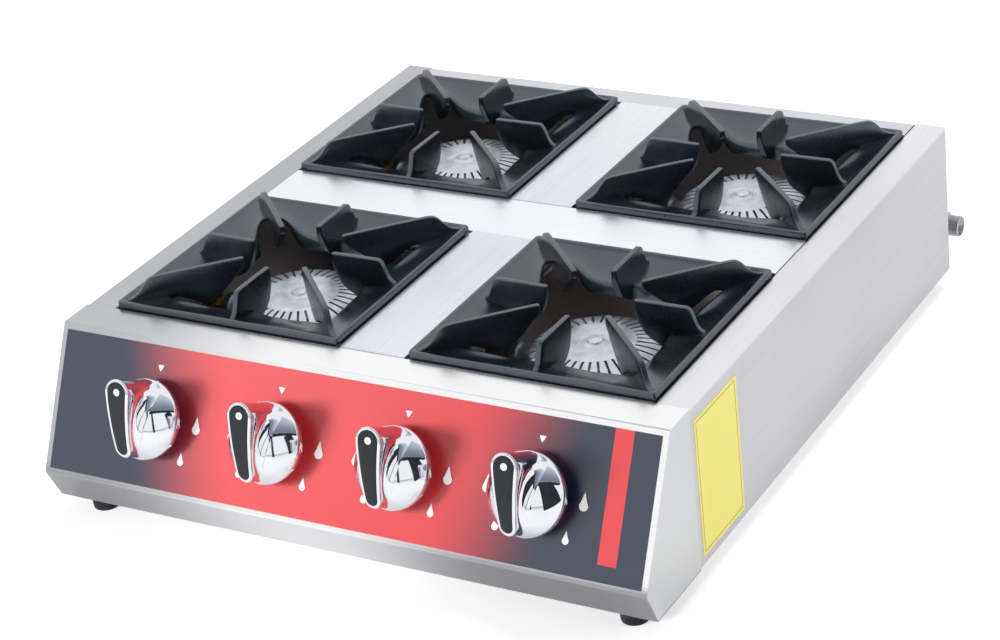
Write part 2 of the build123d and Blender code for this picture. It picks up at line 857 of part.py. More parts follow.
def make_pieces():
    pieces = {
        "base_tray": make_base_tray(),
        "left_side_panel": drill_foot_screws(make_side_panel(-1)),
        "right_side_panel": drill_foot_screws(make_side_panel(1)),
        "rear_panel": make_rear_panel(),
        "control_housing": drill_foot_screws(make_control_housing()),
        "left_end_cheek": make_end_cheek(-1),
        "right_end_cheek": make_end_cheek(1),
        "control_label": make_control_label(),
        "side_label": make_side_label(),
        "transverse_plate": make_transverse_plate(),
        "front_spacer_plate": make_spacer_plate(front_strip_depth, front_row_end),
        "rear_spacer_plate": make_spacer_plate(rear_row_start, rear_row_end),
        "front_burner_rail": make_rail(front_burner_y),
        "rear_burner_rail": make_rail(rear_burner_y),
        "rubber_feet": make_feet(),
        "foot_screws": make_foot_screws(),
        "gas_manifold": make_manifold(),
        "manifold_clamps": make_manifold_clamps(),
        "inlet_pipe": make_inlet_pipe(),
        "inlet_elbow": make_inlet_elbow(),
        "inlet_locknut": make_inlet_locknut(),
        "injectors": make_injectors(),
    }
    pieces.update(make_feed_pipes())
    burner_body = make_burner_body()
    burner_cap = make_burner_cap()
    grate = Pos(0, 0, deck) * make_grate()
    for name, (x, y) in burners.items():
        pieces["burner_body_" + name] = Pos(x, y, 0) * burner_body
        pieces["burner_cap_" + name] = Pos(x, y, 0) * burner_cap
        pieces["grate_" + name] = Pos(x, y, 0) * grate
    tap_pieces = {
        "valve_body": make_valve_body(),
        "valve_plug": make_valve_plug(),
        "valve_stem": make_valve_stem(),
        "knob": make_knob(),
        "knob_inset": make_knob_inset(),
    }
    for number, x in enumerate(knob_xs, start=1):
        for name, piece in tap_pieces.items():
            pieces[f"{name}_{number}"] = knob_frame(x) * piece
    return {name: as_compound(piece) for name, piece in pieces.items()}


def as_compound(piece):
    """One compound of the piece's solids."""
    parts = piece if isinstance(piece, list) else [piece]
    return Compound(children=[solid for part in parts for solid in part.solids()])


pieces = make_pieces()
whole = Compound(children=[piece.moved(Location()) for piece in pieces.values()]).bounding_box()
origin = Vector((whole.min.X + whole.max.X) / 2, (whole.min.Y + whole.max.Y) / 2, 0)
os.makedirs("parts", exist_ok=True)
for name, piece in pieces.items():
    export_step(piece.moved(Location(-origin)), f"parts/{name}.step")
print(len(pieces), "pieces, size", whole.size, "origin at", origin)
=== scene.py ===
from math import asin, cos, pi, radians, sin

import bmesh
import bpy
import numpy as np
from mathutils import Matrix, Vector


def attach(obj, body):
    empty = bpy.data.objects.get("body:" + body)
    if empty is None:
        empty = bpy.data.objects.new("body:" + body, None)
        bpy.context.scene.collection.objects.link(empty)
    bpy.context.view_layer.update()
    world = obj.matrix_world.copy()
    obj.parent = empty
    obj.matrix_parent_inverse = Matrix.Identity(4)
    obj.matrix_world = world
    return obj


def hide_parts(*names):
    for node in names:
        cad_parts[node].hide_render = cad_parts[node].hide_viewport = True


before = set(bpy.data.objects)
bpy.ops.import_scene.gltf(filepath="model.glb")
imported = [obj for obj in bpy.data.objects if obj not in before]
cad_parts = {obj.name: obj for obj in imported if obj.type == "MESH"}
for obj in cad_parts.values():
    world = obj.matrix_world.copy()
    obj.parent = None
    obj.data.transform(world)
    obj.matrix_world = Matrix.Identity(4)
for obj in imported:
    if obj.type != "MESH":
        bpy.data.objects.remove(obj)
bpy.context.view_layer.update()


# Body of the stove: side walls, rear wall, sloping front, end cheeks, base tray and burner rails.
# Folded from stainless sheet with a brushed grain that runs along each length of sheet,
# then screwed and spot welded together. The photograph shows soft clouds of grey in the grain.


class Shade:
    """A socket of a material. Sums, differences and products of shades add Math nodes."""

    def __init__(self, tree, socket=None):
        self.tree = tree
        self.socket = socket

    def node(self, kind, settings, sockets, output=0):
        """Adds any other node: its settings first, then the values or links of its sockets."""
        made = self.tree.nodes.new(kind)
        for name, value in settings.items():
            setattr(made, name, value)
        for key, value in sockets.items():
            if isinstance(value, Shade):
                self.tree.links.new(value.socket, made.inputs[key])
            else:
                made.inputs[key].default_value = value
        return Shade(self.tree, made.outputs[output])

    def maths(self, operation, *values):
        return self.node("ShaderNodeMath", {"operation": operation}, dict(enumerate(values)))

    def __add__(self, other):
        return self.maths("ADD", self, other)

    def __radd__(self, other):
        return self.maths("ADD", other, self)

    def __sub__(self, other):
        return self.maths("SUBTRACT", self, other)

    def __rsub__(self, other):
        return self.maths("SUBTRACT", other, self)

    def __mul__(self, other):
        return self.maths("MULTIPLY", self, other)

    def __rmul__(self, other):
        return self.maths("MULTIPLY", other, self)

    def __truediv__(self, other):
        return self.maths("DIVIDE", self, other)

    def __abs__(self):
        return self.maths("ABSOLUTE", self)

    def least(self, other):
        return self.maths("MINIMUM", self, other)

    def most(self, other):
        return self.maths("MAXIMUM", self, other)

    def length(self, other):
        """Distance from zero in a plane that has this shade and another as coordinates."""
        return self.maths("SQRT", self * self + other * other)

    def rise(self, start, end):
        """Goes smoothly from 0 at the start value to 1 at the end value, which may be the lower."""
        sockets = {"Value": self, "From Min": start, "From Max": end}
        return self.node("ShaderNodeMapRange", {"interpolation_type": "SMOOTHSTEP"}, sockets)

    def mix(self, first, second):
        """Colour that turns from the first into the second as this shade goes from 0 to 1."""
        sockets = {"Factor": self, 6: first, 7: second}
        return self.node("ShaderNodeMix", {"data_type": "RGBA"}, sockets, 2)

    def parts(self):
        split = self.node("ShaderNodeSeparateXYZ", {}, {0: self}).socket.node
        return [Shade(self.tree, socket) for socket in split.outputs]

    def noise(self, per_metre, detail=2.0, roughness=0.5):
        """Cloudy pattern with its own number of repeats per metre along x, y and z."""
        place = self.node("ShaderNodeMapping", {}, {"Vector": self, "Scale": per_metre})
        sockets = {"Vector": place, "Scale": 1.0, "Detail": detail, "Roughness": roughness}
        return self.node("ShaderNodeTexNoise", {}, sockets)

    def bump(self, strength, depth):
        """Surface that is raised by this shade, up to a depth in metres."""
        sockets = {"Strength": strength, "Distance": depth, "Height": self}
        return self.node("ShaderNodeBump", {}, sockets, "Normal")


def colour(red, green, blue):
    """Linear colour of a tone given as 0 to 255 on a screen: below 4% it is divided by 12.92, and
    above that it is shifted, scaled and raised to the power 2.4."""
    screen = np.array([red, green, blue]) / 255
    linear = np.where(screen < 0.04045, screen / 12.92, ((screen + 0.055) / 1.055) ** 2.4)
    return (*linear.tolist(), 1.0)


def material(name, paint):
    """Material whose paint function turns a place on the object into its shader's values."""
    made = bpy.data.materials.new(name)
    made.use_nodes = True
    tree = made.node_tree
    shader = tree.nodes["Principled BSDF"]
    place = Shade(tree).node("ShaderNodeTexCoord", {}, {}, "Object")
    for socket, value in paint(place).items():
        if isinstance(value, Shade):
            tree.links.new(value.socket, shader.inputs[socket])
        else:
            shader.inputs[socket].default_value = value
    return made


def dress(skin, *nodes):
    """Gives CAD nodes a material."""
    for node in nodes:
        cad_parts[node].data.materials.clear()
        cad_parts[node].data.materials.append(skin)


def brush(place, grain):
    """Grain lines stretched along one axis, and slow clouds."""
    return place.noise(grain, 3.0, 0.65), place.noise((4.0, 4.0, 4.0), 2.0)


def even_tone(lines, clouds):
    """Share of the light tone in a sheet that is the same all over."""
    return (lines * 0.45 + clouds * 0.55).rise(0.3, 0.7)


def steel_sheet(tone, metal, roughness, lines):
    """Shader values of a brushed sheet, whose grain lines are raised by a trifle."""
    normal = lines.bump(0.12, 0.0002)
    return {"Base Color": tone, "Metallic": metal, "Roughness": roughness, "Normal": normal}


def brushed_steel(name, grain, dark, light, gloss, metal=1.0):
    """Sheet whose grain and clouds change its tone, from a dark to a light one, and its gloss."""

    def paint(place):
        lines, clouds = brush(place, grain)
        tone = even_tone(lines, clouds).mix(colour(*dark), colour(*light))
        return steel_sheet(tone, metal, gloss + lines * 0.1 + clouds * 0.06, lines)

    return material(name, paint)


grain_along_x = (5.0, 900.0, 900.0)
grain_along_y = (900.0, 5.0, 900.0)
dress(
    brushed_steel("steel_left_wall", grain_along_y, (176, 177, 181), (196, 197, 201), 0.26),
    "left_side_panel",
)
# Height where the painted highlight on the right wall's flange begins, in metres.
flange_edge = (0.164, 0.168)


def right_wall(place):
    """Brushed along y. The flange on top is painted paler than the wall: a painted highlight where
    the sheet faces up.
    """
    _, _, z = place.parts()
    lines, clouds = brush(place, grain_along_y)
    tone = even_tone(lines, clouds)
    wall = tone.mix(colour(194, 193, 196), colour(212, 211, 214))
    # Painted highlight: the same sheet, paler on the flange because it faces the light.
    flange = tone.mix(colour(222, 221, 224), colour(240, 239, 242))
    return steel_sheet(z.rise(*flange_edge).mix(wall, flange), 1.0, 0.26 + lines * 0.1, lines)


dress(material("steel_right_wall", right_wall), "right_side_panel")
dress(
    brushed_steel("steel_rear_and_cheeks", grain_along_x, (198, 200, 204), (220, 222, 228), 0.22),
    "rear_panel", "left_end_cheek", "right_end_cheek",
)
# Where the front sheet's painted sheen and painted shade fade in and out, in metres.
lower_edge = (0.06, 0.05)
left_end = (-0.26, -0.05)
right_end = (-0.02, 0.16)


def front_steel(place):
    """Brushed along x, with painted sheen and shade. A painted reflection leaves the sheet darker
    at its left end and pale from the middle on; its lower edge is painted darker, and loses the
    sheen again on the right."""
    x, _, z = place.parts()
    lines, clouds = brush(place, grain_along_x)
    low = z.rise(*lower_edge)
    # Painted sheen: the reflection's brightness, fading in past the left end and out along the
    # lower edge on the right.
    painted_sheen = x.rise(*left_end) * (1 - low * x.rise(*right_end))
    # Painted shade: the lower edge, which faces down, is painted darker.
    painted_shade_tone = low.mix(colour(178, 179, 183), colour(146, 147, 151))
    sheet = (painted_sheen * 0.8 + lines * 0.12 + clouds * 0.08).mix(painted_shade_tone, colour(254, 254, 255))
    return steel_sheet(sheet, 1.0, 0.2 + lines * 0.1, lines)


dress(material("steel_front", front_steel), "control_housing")
dress(
    brushed_steel("steel_inside", grain_along_x, (214, 202, 198), (232, 221, 216), 0.5, 0.1),
    "base_tray", "front_burner_rail", "rear_burner_rail",
)


# Plates between the burners: one across the deck and two short ones between left and right.
# The same sheet with a finer polish, painted paler than the rest of the steel: a painted
# reflection of the sky makes them almost white.

dress(
    brushed_steel("steel_cross_plate", grain_along_x, (236, 239, 246), (250, 252, 255), 0.18),
    "transverse_plate",
)
dress(
    brushed_steel("steel_short_plates", grain_along_y, (216, 219, 229), (238, 240, 247), 0.18),
    "front_spacer_plate", "rear_spacer_plate",
)


# Printed plate on the sloping face: a thin film print that fades from slate grey to red and back.
# White marks round each knob show off at the top and a large and a small flame on both sides.
# It is glued to the steel behind it, and has a hole for each knob's stem.

deck_level = 0.169
deck_front_y = -0.285384
face_lean = radians(28.1)
knob_pitch = 0.1266
knob_down_face = 0.0705
knob_xs = [(i - 1.5) * knob_pitch - 0.0001 for i in range(4)]
left_fade_x = -0.178
left_fade_slant = 0.25
left_fade_span = (-0.062, 0.058)
right_fade_x = 0.180
right_fade_slant = 0.30
right_fade_span = (0.058, -0.066)
slate_left = colour(12, 26, 54)
slate_right = colour(22, 36, 62)
print_red = colour(234, 62, 68)
print_white = colour(250, 246, 246)
stripe_red = colour(240, 66, 72)
stripe_start = 0.2535
stripe_end = 0.2705
stripe_bottom = 0.117
stripe_blur = 0.0003
mark_blur = 0.0002
mark_circle = 0.0447
arrow_gap = 0.0030
arrow_height = 0.0060
arrow_slope = 0.55
# Angle of each flame's place on the circle, rise of its place over the disc, width and height.
flames = [(89, 0.0035, 0.0080, 0.0155), (133, 0.0025, 0.0060, 0.0115)]


def drop_mark(across, down, width, height):
    """Mask of a drop: a disc below and two straight sides that meet in a point above."""
    radius = width / 2
    disc = across.length(down).rise(radius + mark_blur, radius - mark_blur)
    reach = height - radius
    taper = (down + reach) / reach * radius * 0.96
    cone = (taper - abs(across)).rise(-mark_blur, mark_blur)
    cone = cone * down.rise(mark_blur, -mark_blur) * down.rise(-reach - mark_blur, -reach)
    return disc.most(cone)


def knob_marks(across, below):
    """Marks of one knob, by the distances beside and below its axis: an arrow at the top that
    points down, and drops on a circle, the same on both sides."""
    arrow_low = below + mark_circle - arrow_gap
    arrow = ((0 - arrow_low) * arrow_slope - across).rise(-mark_blur, mark_blur)
    mask = arrow * arrow_low.rise(-arrow_height, -arrow_height + 2 * mark_blur)
    for angle, disc_drop, width, height in flames:
        beside = across - mark_circle * sin(radians(angle))
        under = below + mark_circle * cos(radians(angle)) - disc_drop
        mask = mask.most(drop_mark(beside, under, width, height))
    return mask


def printed_face(place):
    """Two coordinates of the face carry the print: x across, and the distance down the slope."""
    x, y, z = place.parts()
    down = (deck_front_y - y) * sin(face_lean) + (deck_level - z) * cos(face_lean)
    left_fade = (x - left_fade_x - down * left_fade_slant).rise(*left_fade_span)
    right_fade = (x - right_fade_x + down * right_fade_slant).rise(*right_fade_span)
    grain = place.noise((60.0, 60.0, 60.0), 3.0)
    tint = (left_fade * right_fade).mix(x.rise(-0.05, 0.05).mix(slate_left, slate_right), print_red)
    stripe = x.rise(stripe_start - stripe_blur, stripe_start + stripe_blur)
    stripe = stripe * x.rise(stripe_end + stripe_blur, stripe_end - stripe_blur)
    stripe = stripe * down.rise(stripe_bottom + stripe_blur, stripe_bottom - stripe_blur)
    tint = stripe.mix(tint, stripe_red)
    marks = knob_marks(abs(x - knob_xs[0]), down - knob_down_face)
    for knob_x in knob_xs[1:]:
        marks = marks.most(knob_marks(abs(x - knob_x), down - knob_down_face))
    return {
        "Base Color": marks.mix(tint, print_white),
        "Roughness": 0.26 + grain * 0.08,
        "Specular IOR Level": 1.0,
        "IOR": 1.53,
        # Painted light: the marks also glow a little, so they stay white in the knobs' shade.
        "Emission Color": marks.mix((0.0, 0.0, 0.0, 1.0), (0.3, 0.3, 0.3, 1.0)),
        "Emission Strength": 1.0,
        "Normal": grain.bump(0.05, 0.0002),
    }


dress(material("printed_film", printed_face), "control_label")


# Plain yellow plate on the right wall: a thin plastic film with one thin dark line round its edge,
# glued to the outside of the sheet near the front.

plate_rear = 0.122 + deck_front_y
plate_front = 0.041 + deck_front_y
plate_low = 0.025
plate_high = 0.154
line_inset = 0.0035
line_half_width = 0.0004
line_blur = 0.0002


def yellow_film(place):
    """Distance to the nearest edge of the plate, and a thin dark line where it equals the inset."""
    _, y, z = place.parts()
    edge = (y - plate_front).least(plate_rear - y).least(z - plate_low).least(plate_high - z)
    line = abs(edge - line_inset).rise(line_half_width + line_blur, line_half_width - line_blur)
    fade = place.noise((30.0, 30.0, 30.0), 3.0)
    film = fade.mix(colour(255, 242, 126), colour(255, 246, 140))
    return {
        "Base Color": line.mix(film, colour(150, 132, 60)),
        "Roughness": 0.36 + fade * 0.12,
        "Specular IOR Level": 0.3,
        "Normal": fade.bump(0.04, 0.0003),
    }


dress(material("yellow_film", yellow_film), "side_label")


# Gas train behind the front: manifold, taps, feed pipes, injectors and the inlet at the rear.
# Zinc plated steel for the pipes that carry the load, soft aluminium for the feed pipes,
# and turned brass for the taps and the injectors.


def worn_metal(name, dark, light, gloss, spots):
    """Metal whose tone and gloss change with a coarse and a fine cloud of handling marks."""

    def paint(place):
        coarse = place.noise((spots, spots, spots), 3.0)
        fine = place.noise((spots * 12, spots * 12, spots * 12), 2.0)
        mixed = coarse * 0.6 + fine * 0.4
        return {
            "Base Color": mixed.rise(0.3, 0.7).mix(colour(*dark), colour(*light)),
            "Metallic": 1.0,
            "Roughness": gloss + mixed * 0.16,
            "Normal": fine.bump(0.12, 0.0002),
        }

    return material(name, paint)


zinc = worn_metal("zinc_plate", (150, 152, 156), (196, 198, 204), 0.24, 40.0)
brass = worn_metal("turned_brass", (176, 138, 66), (222, 188, 104), 0.2, 60.0)
pipe_metal = worn_metal("soft_aluminium", (148, 146, 146), (186, 184, 184), 0.3, 50.0)
cast_aluminium = worn_metal("cast_aluminium", (196, 202, 210), (232, 237, 244), 0.36, 90.0)
dress(zinc, "gas_manifold", "manifold_clamps", "inlet_pipe", "inlet_locknut", "foot_screws")
tap_nodes = [f"valve_{part}_{i}" for part in ("body", "plug", "stem") for i in range(1, 5)]
dress(brass, "injectors", *tap_nodes)
burners = {
    "front_left": (-152.2, 154.8),
    "front_right": (152.2, 154.8),
    "rear_left": (-152.2, 461.6),
    "rear_right": (152.2, 461.6),
}
dress(pipe_metal, *["feed_pipe_" + place for place in burners])
dress(cast_aluminium, *["burner_body_" + place for place in burners])


# Feet: four feet moulded from black rubber. Each is held by a screw that goes up into the body
# from a recess underneath.

body_origin = np.array([0.1, 285.384, -169.0])
foot_xs = (-268.0, 268.0)
foot_ys = (-27.0, 572.9)
foot_profile = [
    (3.1, 8.0), (6.4, 8.0), (6.5, 7.8), (6.5, 0.6), (7.0, 0.0), (11.2, 0.0), (11.9, 0.3),
    (12.1, 1.0), (12.25, 3.0), (11.95, 3.5), (12.0, 4.3), (12.45, 4.8), (12.75, 13.0),
    (12.8, 15.2), (12.3, 15.9), (11.9, 16.0), (3.1, 16.0),
]


def grid_faces(rows, columns, close_rows=False, close_columns=True):
    """Four-cornered faces of a grid of points, joined end to start where a direction is closed."""
    row = np.arange(rows if close_rows else rows - 1)[:, None]
    column = np.arange(columns if close_columns else columns - 1)[None, :]
    next_row = (row + 1) % rows
    next_column = (column + 1) % columns
    corners = [(row, column), (row, next_column), (next_row, next_column), (next_row, column)]
    return np.stack([r * columns + c for r, c in corners], -1).reshape(-1, 4)


def join_shells(shells):
    """One set of points and faces from several."""
    starts = np.cumsum([0] + [len(points) for points, faces in shells])
    points = np.concatenate([points for points, faces in shells])
    faces = np.concatenate([faces + start for (_, faces), start in zip(shells, starts)])
    return points, faces


def turned(profile, columns):
    """Surface of revolution: radius and height of a profile, carried round the z axis."""
    radius, height = np.array(profile).T
    angle = np.arange(columns) * 2 * pi / columns
    x = radius[:, None] * np.cos(angle)
    y = radius[:, None] * np.sin(angle)
    return np.stack([x, y, height[:, None] + 0 * angle], -1).reshape(-1, 3)


def add_piece(name, points, faces, skin, body, node, slot, sharp=35, uv=None):
    """Puts points, in millimetres from the deck's front edge, into a piece that stands for a CAD
    node. Edges steeper than the sharp angle stay hard."""
    mesh = bpy.data.meshes.new(name)
    mesh.from_pydata(((points - body_origin) / 1000).tolist(), [], faces.tolist())
    if uv is not None:
        mesh.uv_layers.new(name="UVMap").data.foreach_set("uv", uv[faces].ravel())
    shape = bmesh.new()
    shape.from_mesh(mesh)
    bmesh.ops.remove_doubles(shape, verts=shape.verts, dist=1e-6)
    bmesh.ops.dissolve_degenerate(shape, edges=shape.edges, dist=1e-7)
    bmesh.ops.recalc_face_normals(shape, faces=shape.faces)
    shape.to_mesh(mesh)
    shape.free()
    mesh.shade_smooth()
    mesh.set_sharp_from_angle(angle=radians(sharp))
    mesh.materials.append(skin)
    piece = bpy.data.objects.new(name, mesh)
    bpy.context.scene.collection.objects.link(piece)
    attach(piece, body)
    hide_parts(node)


def black_rubber(place):
    """Moulded rubber: near black, dull, with a fine pitted skin and a little pale dust."""
    pits = place.noise((900.0, 900.0, 900.0), 2.0)
    dust = place.noise((70.0, 70.0, 70.0), 3.0)
    return {
        "Base Color": dust.rise(0.35, 0.75).mix(colour(44, 44, 50), colour(66, 66, 74)),
        "Roughness": 0.6 + dust * 0.2,
        "Specular IOR Level": 0.3,
        "Normal": pits.bump(0.3, 0.0002),
    }


foot_columns = 48
foot = turned(foot_profile, foot_columns)
foot_faces = grid_faces(len(foot_profile), foot_columns, close_rows=True)
foot_places = [np.array([x, y, -deck_level * 1000]) for x in foot_xs for y in foot_ys]
feet = join_shells([(foot + place, foot_faces) for place in foot_places])
rubber = material("black_rubber", black_rubber)
add_piece("moulded_feet", *feet, rubber, "body", "rubber_feet", "rubber")


# Gas inlet elbow behind the rear wall: a zinc plated fitting with a cut pipe thread at its end,
# screwed onto the inlet pipe, its open end turned to the right.

elbow_centre = np.array([272.0, 640.9, 47.2 - 169.0])
elbow_radius = 13.0
elbow_turn = 10.0
elbow_socket_end = 25.0
elbow_shoulder = 14.0
elbow_end = 28.0
elbow_bore = 8.0
thread_radius = 10.478
thread_pitch = 1.814
thread_depth = 1.162
elbow_columns = 72


def along_elbow(distance):
    """Point and sideways direction of the elbow's line: straight in along y, a quarter circle, then
    straight out along x. Distance zero is where the quarter circle starts."""
    turn_length = elbow_turn * pi / 2
    angle = np.clip(distance / elbow_turn, 0, pi / 2)
    before = np.minimum(distance, 0)
    after = np.maximum(distance - turn_length, 0)
    x = elbow_turn * (1 - np.cos(angle)) + after
    y = elbow_turn * (np.sin(angle) - 1) + before
    sideways = np.stack([-np.cos(angle), np.sin(angle), 0 * angle], -1)
    return np.stack([x, y, 0 * x], -1), sideways


def elbow_shell():
    """Rings carried along the elbow's line: collar, barrel, shoulder and thread outside, and back
    along the bore. The thread's depth is a triangle wave of the distance, shifted by one pitch for
    each turn of the ring."""
    turn_length = elbow_turn * pi / 2
    to_end = elbow_end - elbow_turn + turn_length
    to_shoulder = elbow_shoulder - elbow_turn + turn_length
    start = elbow_turn - elbow_socket_end
    thread = np.linspace(to_shoulder + 0.4, to_end - 0.6, 66)
    root = thread_radius - thread_depth
    outside = [
        (start, 12.0), (start + 0.6, elbow_radius), (start + 5.0, elbow_radius),
        (start + 5.6, 12.2), (-1.0, 12.2), (0.0, 12.6),
        (turn_length * 0.25, 12.8), (turn_length * 0.5, 12.8),
        (turn_length * 0.75, 12.8), (turn_length, 12.8), (to_shoulder - 0.6, elbow_radius),
        (to_shoulder, elbow_radius - 0.6), (to_shoulder, root),
    ]
    inside = [
        (to_end, root), (to_end, elbow_bore + 0.4), (to_end - 0.4, elbow_bore), (0.0, elbow_bore),
        (start, elbow_bore),
    ]
    on_thread = np.zeros(len(outside) + len(thread) + len(inside), bool)
    on_thread[len(outside):-len(inside)] = True
    crests = [(place, thread_radius) for place in thread]
    distance, radius = np.array(outside + crests + inside).T
    angle = np.arange(elbow_columns) * 2 * pi / elbow_columns
    turn = distance[:, None] / thread_pitch + angle / (2 * pi)
    groove = np.abs((turn % 1) - 0.5) * 2
    ring = radius[:, None] - np.where(on_thread[:, None], groove * thread_depth, 0)
    centre, sideways = along_elbow(distance)
    outward = np.cos(angle)[:, None] * sideways[:, None]
    outward = outward + np.sin(angle)[:, None] * np.array([0, 0, 1.0])
    points = (centre[:, None] + ring[..., None] * outward).reshape(-1, 3) + elbow_centre
    return points, grid_faces(len(distance), elbow_columns, close_rows=True)


add_piece("threaded_elbow", *elbow_shell(), zinc, "body", "inlet_elbow", "zinc_steel")


# Burner caps: cast aluminium discs that lie loose on the burner bodies. Each has a ring of gas
# slots cut in from its rim, a shallow groove and a low boss in the middle, and lifts off.

cap_slots = 36
slot_half_width = 1.15
slot_start = 36.0
slot_floor = -36.0
cap_top_profile = [
    (0.0, -23.0), (5.5, -23.0), (6.3, -23.25), (6.6, -23.9), (7.6, -24.9), (8.6, -25.2),
    (10.6, -25.9), (12.0, -25.9), (12.8, -25.2), (13.6, -25.0), (20.0, -25.0), (28.0, -25.1),
    (33.0, -25.2),
    (36.0, -25.6), (36.001, -25.6), (40.0, -26.1), (45.0, -27.0), (50.0, -28.0), (54.0, -29.0),
    (56.6, -29.8), (58.1, -30.6), (58.8, -31.8), (59.0, -33.4), (59.0, -36.0), (59.0, -39.4),
]
cap_bottom_profile = [
    (58.6, -40.0), (47.6, -40.0), (47.6, -43.6), (47.2, -44.0), (42.0, -44.0), (42.0, -31.0),
    (0.0, -31.0),
]


def cap_shell(x, y):
    """A profile turned round the z axis. Each slot takes four columns: both sides of both of its
    walls. The angle between a wall and the slot's middle shrinks as the radius grows, so the slot
    keeps its width."""
    radius, height = np.array(cap_top_profile + cap_bottom_profile).T
    pitch = 2 * pi / cap_slots
    side = np.array([-1, -1, 1, 1, 0, 0, 0, 0])
    land = np.array([0, 0, 0, 0, 0.14, 0.38, 0.62, 0.86])
    in_slot = np.array([False, True, True, False, False, False, False, False])
    half_angle = slot_half_width / np.maximum(radius, slot_start)[:, None]
    fill = half_angle + land * (pitch - 2 * half_angle)
    angle = np.where(side != 0, side * half_angle, fill)
    angle = angle[:, None, :] + (np.arange(cap_slots) * pitch)[:, None]
    on_top = np.arange(len(radius)) < len(cap_top_profile)
    cut = on_top & (radius > slot_start) & (height > slot_floor)
    level = np.where(cut[:, None] & in_slot, slot_floor, height[:, None])
    level = np.broadcast_to(level[:, None, :], angle.shape)
    radius = radius[:, None, None]
    points = np.stack([radius * np.cos(angle), radius * np.sin(angle), level], -1)
    return points.reshape(-1, 3) + np.array([x, y, 0]), grid_faces(len(radius), 8 * cap_slots)


for place, (x, y) in burners.items():
    add_piece(
        "cast_cap_" + place, *cap_shell(x, y), cast_aluminium,
        "cap_" + place, "burner_cap_" + place, "cap_aluminium",
    )


# Pan supports: cast iron grates with black enamel. Each is a dished frame with a raised rim, a wavy
# inner lip, four long corner ribs and four shorter ribs. They lie loose on the ledges of the deck.

frame_half = 116.7
rim_top = 6.0
rim_inner = 112.4
ledge_level = -3.0
straight_steps = 44
corner_steps = 6
lip_half_middle = 75.0
lip_half_corner = 87.0
lip_level_middle = -8.0
lip_level_corner = 1.0
lip_hump = 3.0
lip_hump_share = 0.16
lip_swell = 2.0
lip_swell_share = 0.13
casting = 5.0
skirt_depth = 8.6
skirt_lean = 7.0


def rounded_ring(straight, corner):
    """Unit pieces of a rounded square: a point is (half - radius) times the first array plus the
    corner radius times the second. Also the share of the way from a side's middle to its corner."""
    run = np.linspace(-1, 1, straight, endpoint=False)
    turn = np.arange(corner) / corner * pi / 2
    side_flat = np.stack([run, -np.ones(straight)], -1)
    corner_normal = np.stack([np.sin(turn), -np.cos(turn)], -1)
    flat = np.concatenate([side_flat, np.tile([1.0, -1.0], (corner, 1))])
    normal = np.concatenate([np.tile([0.0, -1.0], (straight, 1)), corner_normal])
    share = np.concatenate([np.abs(run), np.ones(corner)])
    turns = [np.array([[cos(a), sin(a)], [-sin(a), cos(a)]]) for a in (0, pi / 2, pi, 3 * pi / 2)]
    flat = np.concatenate([flat @ quarter for quarter in turns])
    return flat, np.concatenate([normal @ quarter for quarter in turns]), np.tile(share, 4)


def smooth(value):
    """Share from 0 to 1 that starts and ends level."""
    value = np.clip(value, 0, 1)
    return value * value * (3 - 2 * value)


def dish_shell():
    """Rings of a rounded square, from the outer wall over the rim, down the flange to the lip, down
    a short skirt below it and back underneath. The lip goes outward and up towards each corner,
    where the skirt runs out, with a low hump beside each short rib."""
    flat, normal, share = rounded_ring(straight_steps, corner_steps)
    rows = []

    def add_ring(half, radius, level):
        half = np.broadcast_to(half, len(share))[:, None]
        plan = (half - radius) * flat + radius * normal
        rows.append(np.concatenate([plan, np.broadcast_to(level, len(share))[:, None]], -1))

    outward = smooth((share - 0.45) / 0.55)
    upward = smooth((share - 0.5) / 0.5)
    lip_half = lip_half_middle + (lip_half_corner - lip_half_middle) * outward
    lip_half = lip_half - lip_swell * np.exp(-((share / lip_swell_share) ** 2))
    lip_level = lip_level_middle + (lip_level_corner - lip_level_middle) * upward
    lip_level = lip_level + lip_hump * np.exp(-((share / lip_hump_share) ** 2))
    add_ring(115.2, 3.0, ledge_level)
    add_ring(frame_half - 0.4, 3.0, ledge_level + 0.6)
    add_ring(frame_half, 3.0, ledge_level + 1.5)
    add_ring(frame_half, 3.0, rim_top - 1.6)
    add_ring(frame_half - 0.4, 3.2, rim_top - 0.5)
    add_ring(frame_half - 1.5, 3.4, rim_top)
    add_ring(rim_inner + 1.2, 4.0, rim_top - 0.1)
    add_ring(rim_inner, 4.5, rim_top - 0.7)
    start_half, start_level = rim_inner - 0.8, rim_top - 1.8
    for step in np.linspace(0, 1, 13):
        half = start_half + (lip_half + 1.6 - start_half) * step
        fall = 1 - (1 - step) ** 1.7
        add_ring(half, 5.0 + 6.0 * step, start_level + (lip_level - start_level) * fall)
    skirt = 1 - smooth((share - 0.7) / 0.25)
    lean_in = (skirt_lean + 0.8 * (lip_half - lip_half_middle)) * skirt
    reach_down = (skirt_depth + lip_level - lip_level_middle) * skirt
    for inward, drop, lean, deep in (
        (0.8, 0.2, 0, 0), (0.0, 0.6, 0.1, 0.04), (-0.2, 0.9, 0.3, 0.15), (-0.2, 1.0, 0.5, 0.32),
        (-0.2, 1.1, 0.7, 0.54), (-0.2, 1.2, 0.88, 0.78), (-0.2, 1.3, 1, 0.98), (0.6, 1.4, 0.9, 1),
        (2.4, 2.4, 0.3, 0.9), (3.0, casting, 0, 0.4),
    ):
        add_ring(lip_half + inward - lean_in * lean, 11.0, lip_level - drop - reach_down * deep)
    for step in (0.35, 0.7, 1.0):
        level = lip_level - casting + (ledge_level - 0.6 - lip_level + casting) * step
        add_ring(lip_half + 3.0 + (107.6 - lip_half - 3.0) * step, 8.0, level)
    add_ring(108.2, 6.0, ledge_level)
    return np.concatenate(rows), grid_faces(len(rows), len(share), close_rows=True)


